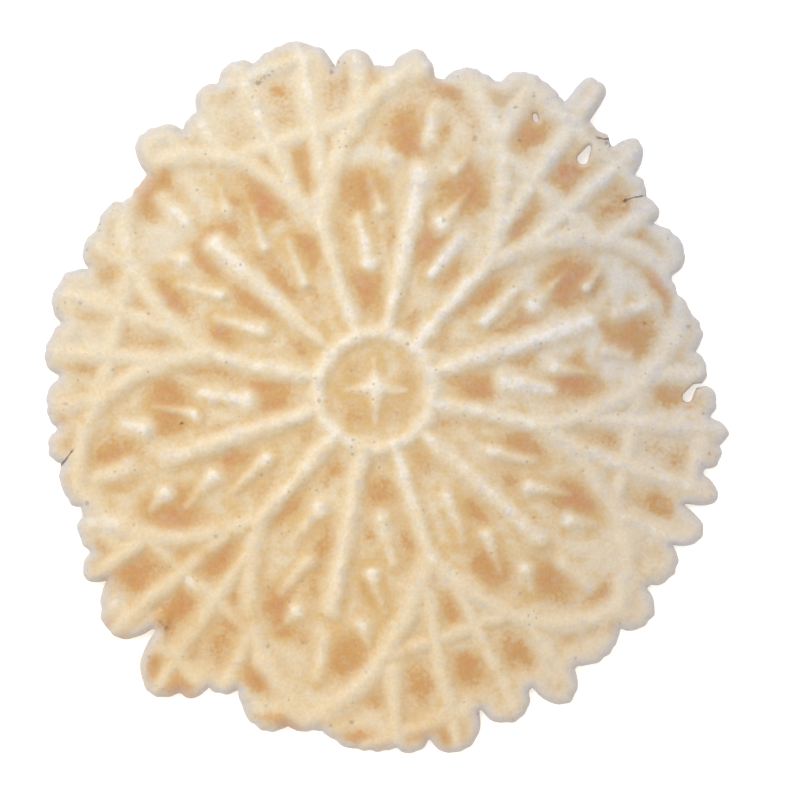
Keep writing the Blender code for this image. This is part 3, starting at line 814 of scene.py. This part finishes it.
# Fine dark cracks: the points they pass, as (angle, radius).
CRACKS = (
    ((46.9, 64.4), (47.6, 63.2), (48.6, 62.6)),
    ((46.2, 63.0), (46.9, 64.2)),
    ((36.1, 61.3), (36.9, 59.6), (37.3, 58.1)),
    ((193.6, 60.4), (192.4, 58.6), (191.2, 57.2)),
    ((1.0, 60.4), (0.6, 59.6)),
)
CRACK_REACH = 3.0
CRACK_END = 0.5
SPOT_REACH = 2.5

# Patches where the batter stayed nearly white, ridges and all: (angle, radius), half-width,
# half-length along the radius, and strength.
WHITE_MARKS = (
    ((226.2, 49.3), 2.6, 1.3, 1.0), ((219.0, 62.3), 1.5, 2.4, 0.9), ((248.6, 61.8), 2.3, 1.5, 0.8),
    ((204.8, 57.6), 1.8, 2.2, 0.85), ((206.6, 55.2), 3.0, 3.0, 1.0), ((139.6, 50.2), 1.6, 2.6, 0.6),
    ((129.6, 61.6), 3.0, 2.4, 0.7), ((157.0, 48.7), 1.8, 2.4, 0.4), ((171.0, 58.0), 2.4, 3.0, 0.35),
    ((179.0, 57.6), 2.2, 2.4, 0.35),
)

# Single dark or grey specks baked into the top: (angle, radius), size and strength.
SPOTS = (
    ((189.6, 36.4), 0.35, 0.8), ((68.6, 50.4), 0.5, 0.4), ((14.0, 51.6), 0.3, 0.5),
    ((46.9, 62.9), 0.4, 0.5), ((63.6, 58.7), 0.35, 0.5),
    ((110.9, 61.2), 0.5, 0.45), ((109.4, 61.6), 0.3, 0.4), ((107.8, 62.2), 0.3, 0.4),
    ((105.2, 62.8), 0.3, 0.35), ((97.8, 59.6), 0.35, 0.45), ((112.6, 59.0), 0.4, 0.25),
    ((37.3, 58.3), 0.35, 0.8), ((126.6, 58.4), 0.3, 0.25), ((182.4, 57.4), 0.5, 0.25),
    ((163.4, 57.0), 0.4, 0.3), ((228.6, 58.6), 0.4, 0.5), ((227.0, 58.4), 0.3, 0.5),
    ((265.9, 61.7), 0.4, 0.45), ((262.4, 62.6), 0.35, 0.35), ((251.0, 61.8), 0.4, 0.3),
    ((247.3, 51.4), 0.4, 0.35), ((222.4, 40.0), 0.4, 0.3), ((11.6, 59.2), 0.4, 0.35),
    ((18.4, 25.0), 0.3, 0.25), ((345.0, 40.6), 0.3, 0.35), ((356.0, 61.0), 0.3, 0.35),
    ((201.2, 57.3), 0.4, 0.35), ((60.1, 53.6), 0.3, 0.45), ((115.5, 47.0), 0.3, 0.2),
    ((167.6, 11.2), 0.4, 0.3), ((189.5, 10.4), 0.45, 0.3), ((109.7, 10.4), 0.35, 0.3),
    ((55.0, 10.6), 0.4, 0.35), ((68.1, 34.1), 0.45, 0.35), ((29.6, 34.0), 0.4, 0.3),
    ((9.0, 55.5), 0.3, 0.35),
)


def placed(groups, axis_of):
    """The groups' patches, with their centres worked out from their axes."""
    return [
        (local(axis_of(number), across, outward), *sizes)
        for number, group in enumerate(groups)
        for across, outward, *sizes in group
    ]


def patch_cover(x, y, patches):
    """How strongly patches cover each place, 0 to 1. Each lies along its centre's radius."""
    cover = np.zeros_like(x)
    for centre, half_width, half_length, strength in patches:
        forward, aside = turned(x - centre[0], y - centre[1], centre / np.linalg.norm(centre))
        patch = strength * fading(np.hypot(forward / half_length, aside / half_width), 1)
        cover = cover + patch - cover * patch
    return cover


def toast_and_haze(x, y):
    """How brown and how milky the floors are, before the pattern hides them."""
    x, y = x + unevenness(x, y, TOAST_DRIFTS[0]), y + unevenness(x, y, TOAST_DRIFTS[1])
    toasted_patches = placed(PETAL_TOAST, petal_axis) + placed(GAP_TOAST, gap_axis)
    toasted_patches += [(np.array(place), *sizes) for place, *sizes in CENTRE_TOAST]
    petal_haze = patch_cover(x, y, placed(PETAL_HAZE, petal_axis))
    gap_haze = patch_cover(x, y, placed(GAP_HAZE, gap_axis))
    return patch_cover(x, y, toasted_patches), np.maximum(petal_haze, gap_haze)


def white_marks(x, y):
    """How nearly white the batter stayed at each place, 0 to 1."""
    return patch_cover(x, y, [(polar(*place), *sizes) for place, *sizes in WHITE_MARKS])


def told_by_nearest(x, marks, names, unmarked):
    """Per name, what the nearest mark tells. A mark is its distance, then a value for each name."""
    nearest = np.full_like(x, unmarked[0])
    masks = [np.full_like(x, value) for value in unmarked[1:]]
    for distance, *told in marks:
        nearer = distance < nearest
        nearest = np.where(nearer, distance, nearest)
        masks = [np.where(nearer, value, mask) for value, mask in zip(told, masks)]
    return dict(zip(names, masks))


def crack_masks(x, y):
    """The way across to the nearest crack, signed by its side, and 1 alongside it."""
    marks = []
    stretches = [pair for crack in CRACKS for pair in zip(crack, crack[1:])]
    for start, end in stretches:
        _, past, across = beside_stretch(x, y, polar(*start), polar(*end))
        beside = np.clip(1 - past / CRACK_END, 0, 1)
        marks.append((np.hypot(across, past), np.clip(across, -CRACK_REACH, CRACK_REACH), beside))
    return told_by_nearest(x, marks, ("crack_side", "crack_beside"), (np.inf, 0, 0))


def spot_masks(x, y):
    """The way to the nearest spot, across and up, with that spot's size and strength."""
    marks = []
    for place, size, strength in SPOTS:
        across, up = x - polar(*place)[0], y - polar(*place)[1]
        marks.append((np.hypot(across, up), across, up, size, strength))
    names = ("spot_x", "spot_y", "spot_size", "spot_dark")
    return told_by_nearest(x, marks, names, (SPOT_REACH, SPOT_REACH, 0, 0, 0))


def read_places(mesh):
    """The mesh's points in millimetres: across and up from the rosette's centre, and above zero."""
    places = np.empty(len(mesh.vertices) * 3)
    mesh.vertices.foreach_get("co", places)
    x, y, z = places.reshape(-1, 3).T / MM
    return x - ROSETTE_CENTRE[0], y - ROSETTE_CENTRE[1], z


def paint_masks(mesh, outline):
    """Writes what the material reads at each point: toast, haze, feet, painted shade, paleness
    with the light painted round the openings, the rim's painted shade, cracks and spots."""
    x, y, z = read_places(mesh)
    pattern = raised_pattern(x, y)
    shifted = raised_pattern(x - SHADE_SHIFT[0], y - SHADE_SHIFT[1])
    floor = 1 - np.clip(pattern.lift() / FLOOR_LIFT, 0, 1) ** FLOOR_BLUNTNESS
    shade = np.clip((shifted.lift() - pattern.lift()) / SHADE_LIFT, 0, 1)
    depth = np.maximum(outline.depth(x, y), 0)
    rim = fading(depth, RIM_PALE_REACH)
    hole = fading(np.maximum(opening_distance(x, y), 0), HOLE_ROUND)
    toast, haze = toast_and_haze(x, y)
    bare = 1 - toast * (1 - haze)
    # Pale batter by the rim, and light painted round the openings against the shade of their walls.
    rim_pale_and_hole_light = np.maximum(RIM_PALENESS * rim * bare, HOLE_PAINTED_LIGHT * hole)
    pale = np.maximum(pattern.pale, MARK_PALENESS * white_marks(x, y))
    masks = {
        "toast": toast * floor * (1 - RIM_TOAST_LOSS * rim) * (1 - HAZE_TOAST_LOSS * haze),
        "haze": haze * floor,
        "foot": pattern.foot * floor * np.interp(np.hypot(x, y), *FEET_FADE),
        "shaded": shade * floor,
        # pale: the crests and marks, with the rim's pale batter and the light painted round the
        # openings.
        "pale": np.maximum(pale, rim_pale_and_hole_light),
        # edge: the rim's painted grey shade on its rounded top, less where toasted.
        "edge": fading(depth, RIM_SHADE) * (1 + bare) / 2 * np.interp(z, *RIM_SHADE_HEIGHTS),
        **crack_masks(x, y),
        **spot_masks(x, y),
    }
    for name, values in masks.items():
        attribute = mesh.attributes.new(name, "FLOAT", "POINT")
        attribute.data.foreach_set("value", values.astype(np.float32))


class Graph:
    """A material's nodes, made and linked by short calls."""

    def __init__(self, material):
        material.use_nodes = True
        self.tree = material.node_tree
        self.shader = self.tree.nodes["Principled BSDF"]
        self.place = self.tree.nodes.new("ShaderNodeTexCoord").outputs["Object"]

    def feed(self, node, inputs):
        """Links each input to another node's output, or writes a plain value in it."""
        for name, value in inputs.items():
            if isinstance(value, bpy.types.NodeSocket):
                self.tree.links.new(value, node.inputs[name])
            else:
                node.inputs[name].default_value = value

    def add(self, kind, inputs, **settings):
        node = self.tree.nodes.new("ShaderNode" + kind)
        for name, value in settings.items():
            setattr(node, name, value)
        self.feed(node, inputs)
        return node

    def mask(self, name):
        return self.add("Attribute", {}, attribute_name=name).outputs["Fac"]

    def maths(self, operation, a, b=0.0, c=0.0):
        return self.add("Math", {0: a, 1: b, 2: c}, operation=operation).outputs["Value"]

    def times(self, a, b):
        return self.maths("MULTIPLY", a, b)

    def total(self, start, *parts):
        """The start value with parts added to it, each given as (share, value)."""
        for share, value in parts:
            start = self.maths("MULTIPLY_ADD", value, share, start)
        return start

    def ramp(self, value, low, high, first=0.0, last=1.0):
        """Goes smoothly from first to last as the value goes from low to high."""
        inputs = {"Value": value, "From Min": low, "From Max": high, "To Min": first, "To Max": last}
        return self.add("MapRange", inputs, interpolation_type="SMOOTHSTEP").outputs["Result"]

    def mix(self, share, a, b, blend="MIX"):
        made = self.add("Mix", {0: share, 6: a, 7: b}, data_type="RGBA", blend_type=blend)
        return made.outputs[2]

    def grey(self, value):
        return self.add("CombineColor", {0: value, 1: value, 2: value}).outputs["Color"]

    def noise(self, size, detail, shift=0.0):
        """Noise with bumps about size millimetres across, from 0 to 1."""
        moved = self.add("Mapping", {"Vector": self.place, "Location": (shift, shift, 0)})
        inputs = {"Vector": moved.outputs["Vector"], "Scale": 1 / (size * MM), "Detail": detail}
        return self.add("TexNoise", inputs).outputs["Fac"]


def colour(*values):
    """A colour for a shader's socket, given as red, green and blue on a screen, 11 to 255 each."""
    return (*(((value / 255 + 0.055) / 1.055) ** 2.4 for value in values), 1.0)


# The crust's colours, with the shade painted by the ridges and at the rim, roughly in the order in
# which they lie over each other.
MILKY = colour(221, 209, 185)
GOLDEN = colour(208, 179, 128)
SHADOWED = colour(192, 166, 130)
OCHRE = colour(199, 162, 108)
TOAST = colour(195, 149, 97)
ROSY = colour(196, 143, 102)
HAZE = colour(218, 209, 191)
# Painted shade, where the shade beside the ridges is deepest.
DEEP_SHADE = colour(176, 152, 122)
CREST = colour(223, 210, 184)
WHITE = colour(232, 227, 219)
CREST_GREY = colour(204, 199, 195)
# Painted grey shade on the rim's rounded top edge.
RIM_SHADE_COLOUR = colour(183, 180, 183)
PORE = colour(150, 136, 122)
SPOT = colour(104, 84, 66)
CRACK = colour(96, 84, 76)
RIM_SHADE_SHARE = 0.8
PORE_DARKNESS = 0.5
CRACK_DARKNESS = 0.8

# Tints over the whole wafer, and where each pair runs from the one to the other. Further down, a
# smaller share of the right's tint is left. The darker, bluer right and darker bottom are partly
# the crust's own tone and partly painted shade, away from the lamp at the upper left.
LEFT_TINT = (1.012, 0.977, 0.925, 1.0)
RIGHT_TINT = (0.765, 0.805, 0.955, 1.0)
TOP_TINT = (0.975, 0.985, 1.0, 1.0)
BOTTOM_TINT = (0.925, 0.875, 0.8, 1.0)
TINT_ACROSS = (-15 * MM, 62 * MM)
TINT_UP = (-60 * MM, 50 * MM)
RIGHT_TINT_UP = (-30 * MM, 30 * MM, 0.64, 1.0)

# Bumps of the batter's noises: size in millimetres, detail and shift.
GRAIN = (0.8, 3.0, 0.3)
BLOTCH = (2.6, 3.0, 0.7)
CLOUD = (8.0, 2.0, 0.2)
PORE_SPACING = 1.3


def plain_crust(graph, grain, blotch, cloud):
    """Milky and golden batter, golden at the ridges' feet, softly shaded on their lower right."""
    foot, shaded = graph.mask("foot"), graph.mask("shaded")
    milky = graph.total(0.1, (0.7, cloud), (0.6, blotch), (0.3, grain), (-0.42, foot))
    base = graph.mix(graph.ramp(milky, 0.45, 1.0), GOLDEN, MILKY)
    shaded = graph.times(shaded, graph.ramp(blotch, 0.3, 0.65, 0.25, 0.8))
    return graph.mix(shaded, base, SHADOWED)


def toasted(graph, base, grain, blotch):
    """Ochre patches, brown or rosy where the iron toasted them most, with ragged edges."""
    # The toast mask also carries a few patches of painted shade at a ridge's foot.
    toast = graph.mask("toast")
    uneven = graph.total(-0.65, (0.6, blotch), (0.7, grain))
    browned = graph.maths("MULTIPLY_ADD", uneven, graph.ramp(toast, 0.0, 0.3, 0.35, 1.0), toast)
    base = graph.mix(graph.total(-0.1, (1.9, browned)), base, OCHRE)
    rosy = graph.ramp(graph.noise(5.0, 3.0, 1.1), 0.42, 0.6)
    return graph.mix(graph.total(-0.75, (1.7, browned)), base, graph.mix(rosy, TOAST, ROSY))


def haze_and_deep_shade(graph, base, blotch, cloud):
    """Milky hazes on the floors, and a darker painted shade where the shade beside the ridges is
    deepest.
    """
    hazy = graph.total(-0.25, (0.5, blotch), (1.0, graph.mask("haze")))
    base = graph.mix(graph.ramp(hazy, 0.05, 0.95), base, HAZE)
    # Painted shade: darker where the painted shade beside the ridges is deepest.
    shade_depth = graph.times(graph.mask("shaded"), graph.ramp(cloud, 0.35, 0.65, 0.4, 1.0))
    return graph.mix(graph.ramp(shade_depth, 0.3, 0.9, 0.0, 0.45), base, DEEP_SHADE)


def pale_crests(graph, base, pale, grain, blotch):
    """Pale ridges, white in patches and smudged with grey."""
    patchy = graph.total(-0.82, (1.2, blotch), (0.45, grain))
    patchy = graph.maths("MULTIPLY_ADD", patchy, graph.ramp(pale, 0.0, 0.4), pale)
    base = graph.mix(patchy, base, CREST)
    base = graph.mix(graph.ramp(patchy, 0.78, 1.2, 0.0, 0.8), base, WHITE)
    smudge = graph.ramp(graph.noise(2.0, 2.0, 0.5), 0.5, 0.72)
    smudge = graph.times(smudge, graph.ramp(pale, 0.2, 0.8, 0.15, 0.55))
    return graph.mix(smudge, base, CREST_GREY)


def tinted(graph, base):
    """The drift of colour over the whole wafer, partly painted shade to the right and bottom; the
    rim's painted grey shade; and fine flecks.
    """
    place = graph.add("SeparateXYZ", {"Vector": graph.place}).outputs
    rightward = graph.ramp(place["X"], *TINT_ACROSS)
    rightward = graph.times(rightward, graph.ramp(place["Y"], *RIGHT_TINT_UP))
    upward = graph.ramp(place["Y"], *TINT_UP)
    # Darker and bluer to the right: partly the crust's own tone, partly painted shade.
    base = graph.mix(1.0, base, graph.mix(rightward, LEFT_TINT, RIGHT_TINT), "MULTIPLY")
    # Darker towards the bottom: partly the crust's own tone, partly painted shade.
    base = graph.mix(1.0, base, graph.mix(upward, BOTTOM_TINT, TOP_TINT), "MULTIPLY")
    # The rim's painted grey shade.
    base = graph.mix(graph.times(graph.mask("edge"), RIM_SHADE_SHARE), base, RIM_SHADE_COLOUR)
    fleck = graph.ramp(graph.noise(0.6, 4.0, 0.4), 0.3, 0.7, 0.945, 1.025)
    return graph.mix(1.0, base, graph.grey(fleck), "MULTIPLY")


def pore_cover(graph, pale):
    """Pores of several sizes, 0 to 1, crowded in places and on the ridges."""
    inputs = {"Vector": graph.place, "Scale": 1 / (PORE_SPACING * MM)}
    cells = graph.add("TexVoronoi", inputs).outputs
    distance = graph.times(cells["Distance"], PORE_SPACING)
    chance = graph.add("SeparateColor", {"Color": cells["Color"]}).outputs
    crowd = graph.ramp(graph.noise(9.0, 2.0, 0.9), 0.45, 0.7, 0.04, 0.5)
    crowd = graph.times(crowd, graph.ramp(pale, 0.0, 0.7, 0.35, 1.0))
    picked = graph.maths("LESS_THAN", chance["Red"], crowd)
    radius = graph.total(0.12, (0.2, chance["Green"]))
    hole = graph.ramp(graph.maths("SUBTRACT", radius, distance), -0.12, 0.16)
    return graph.times(hole, picked)


def spot_cover(graph):
    """The single specks, 0 to 1, with ragged edges."""
    away = graph.add("CombineXYZ", {0: graph.mask("spot_x"), 1: graph.mask("spot_y")}).outputs[0]
    away = graph.add("VectorMath", {0: away}, operation="LENGTH").outputs["Value"]
    away = graph.total(-0.55, (1.0, away), (1.1, graph.noise(0.6, 2.0, 0.8)))
    spot = graph.ramp(graph.maths("SUBTRACT", graph.mask("spot_size"), away), -0.2, 0.3)
    return graph.times(spot, graph.mask("spot_dark"))


def crack_cover(graph):
    """The cracks, 0 to 1, now thinner and now wider."""
    width = graph.ramp(graph.noise(1.2, 2.0, 0.5), 0.3, 0.7, 0.05, 0.22)
    across = graph.maths("ABSOLUTE", graph.mask("crack_side"))
    split = graph.ramp(graph.maths("SUBTRACT", width, across), -0.14, 0.06)
    return graph.times(split, graph.mask("crack_beside"))


def crust_material():
    material = bpy.data.materials.new("baked_wafer")
    graph = Graph(material)
    pale = graph.mask("pale")
    grain, blotch, cloud = (graph.noise(*bumps) for bumps in (GRAIN, BLOTCH, CLOUD))
    base = plain_crust(graph, grain, blotch, cloud)
    base = toasted(graph, base, grain, blotch)
    base = haze_and_deep_shade(graph, base, blotch, cloud)
    base = pale_crests(graph, base, pale, grain, blotch)
    base = tinted(graph, base)
    pore, split = pore_cover(graph, pale), crack_cover(graph)
    base = graph.mix(graph.times(pore, PORE_DARKNESS), base, PORE)
    base = graph.mix(spot_cover(graph), base, SPOT)
    base = graph.mix(graph.times(split, CRACK_DARKNESS), base, CRACK)
    fine = graph.noise(0.25, 2.0, 0.2)
    height = graph.total(0.0, (0.6, grain), (-0.7, pore), (-1.2, split), (0.14, fine))
    bump = graph.add("Bump", {"Height": height, "Strength": 0.45, "Distance": 0.16 * MM})
    graph.feed(graph.shader, {
        "Base Color": base,
        "Normal": bump.outputs["Normal"],
        "Roughness": graph.ramp(graph.noise(2.4, 3.0, 0.6), 0.3, 0.75, 0.72, 0.5),
        "Specular IOR Level": 0.3,
        "Subsurface Weight": 0.15,
        "Subsurface Radius": (1.0, 0.6, 0.35),
        "Subsurface Scale": 0.8 * MM,
    })
    return material


PURE_WHITE = (1.0, 1.0, 1.0, 1.0)
FLOOR_GLOW = 0.35
FLOOR_SIZE = 4.0


def floor_material():
    """White, with a little glow, so that it is as white as the photo's ground."""
    material = bpy.data.materials.new("white_floor")
    graph = Graph(material)
    graph.feed(graph.shader, {
        "Base Color": graph.grey(graph.ramp(graph.noise(60.0, 2.0), 0.2, 0.8, 0.93, 0.95)),
        "Emission Color": PURE_WHITE,
        "Emission Strength": FLOOR_GLOW,
        "Roughness": 0.9,
        "Specular IOR Level": 0.1,
    })
    return material


def place_object(name, data):
    made = bpy.data.objects.new(name, data)
    bpy.context.scene.collection.objects.link(made)
    return made


def build_crust():
    outline = Outline()
    points, faces, level = crust_shape(outline)
    points[:, 0] += ROSETTE_CENTRE[0]
    points[:, 1] += ROSETTE_CENTRE[1]
    mesh = bpy.data.meshes.new("wafer_crust")
    mesh.from_pydata((points * MM).tolist(), [], faces.tolist())
    piece = place_object("wafer_crust", mesh)
    thin_underside(piece, level)
    piece.data.shade_smooth()
    paint_masks(piece.data, outline)
    piece.data.materials.append(crust_material())
    return piece


def build_stage(low, high):
    """A wide white floor under the wafer, level with its lowest point."""
    centre = (low + high) / 2
    bpy.ops.mesh.primitive_plane_add(size=FLOOR_SIZE, location=(centre.x, centre.y, low.z))
    floor = bpy.context.object
    floor.name = "floor"
    floor.data.materials.append(floor_material())


# The camera looks straight down on this point, from this height above the wafer.
VIEW_CENTRE = (2.525, -0.465)
VIEW_HEIGHT = 349.4
LENS = 85.0
SENSOR_WIDTH = 36.0

# The direction in which the key lamp lies, and the spread of its light in degrees.
KEY_SIDE = (-0.40, 0.55, 0.72)
KEY_STRENGTH = 1.7
KEY_SOFTNESS = 50.0
SURROUND_STRENGTH = 0.85


def build_camera(top):
    """Straight above the wafer, with its top edge up."""
    data = bpy.data.cameras.new("camera")
    data.lens = LENS
    data.sensor_width = SENSOR_WIDTH
    camera = place_object("camera", data)
    x, y = VIEW_CENTRE
    camera.location = (x * MM, y * MM, top + VIEW_HEIGHT * MM)
    bpy.context.scene.camera = camera


def build_light():
    """A large soft lamp far away at the upper left, and an even white surround."""
    data = bpy.data.lights.new("key", "SUN")
    data.energy = KEY_STRENGTH
    data.angle = math.radians(KEY_SOFTNESS)
    lamp = place_object("key", data)
    lamp.rotation_euler = Vector(KEY_SIDE).to_track_quat("Z", "Y").to_euler()

    world = bpy.data.worlds.new("surround")
    bpy.context.scene.world = world
    world.use_nodes = True
    background = world.node_tree.nodes["Background"]
    background.inputs["Color"].default_value = PURE_WHITE
    background.inputs["Strength"].default_value = SURROUND_STRENGTH


def main():
    crust = build_crust()
    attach(crust, "root")
    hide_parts("wafer")
    low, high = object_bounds()
    build_stage(low, high)
    build_camera(high.z)
    build_light()
    bpy.context.scene.view_settings.view_transform = "Standard"


main()
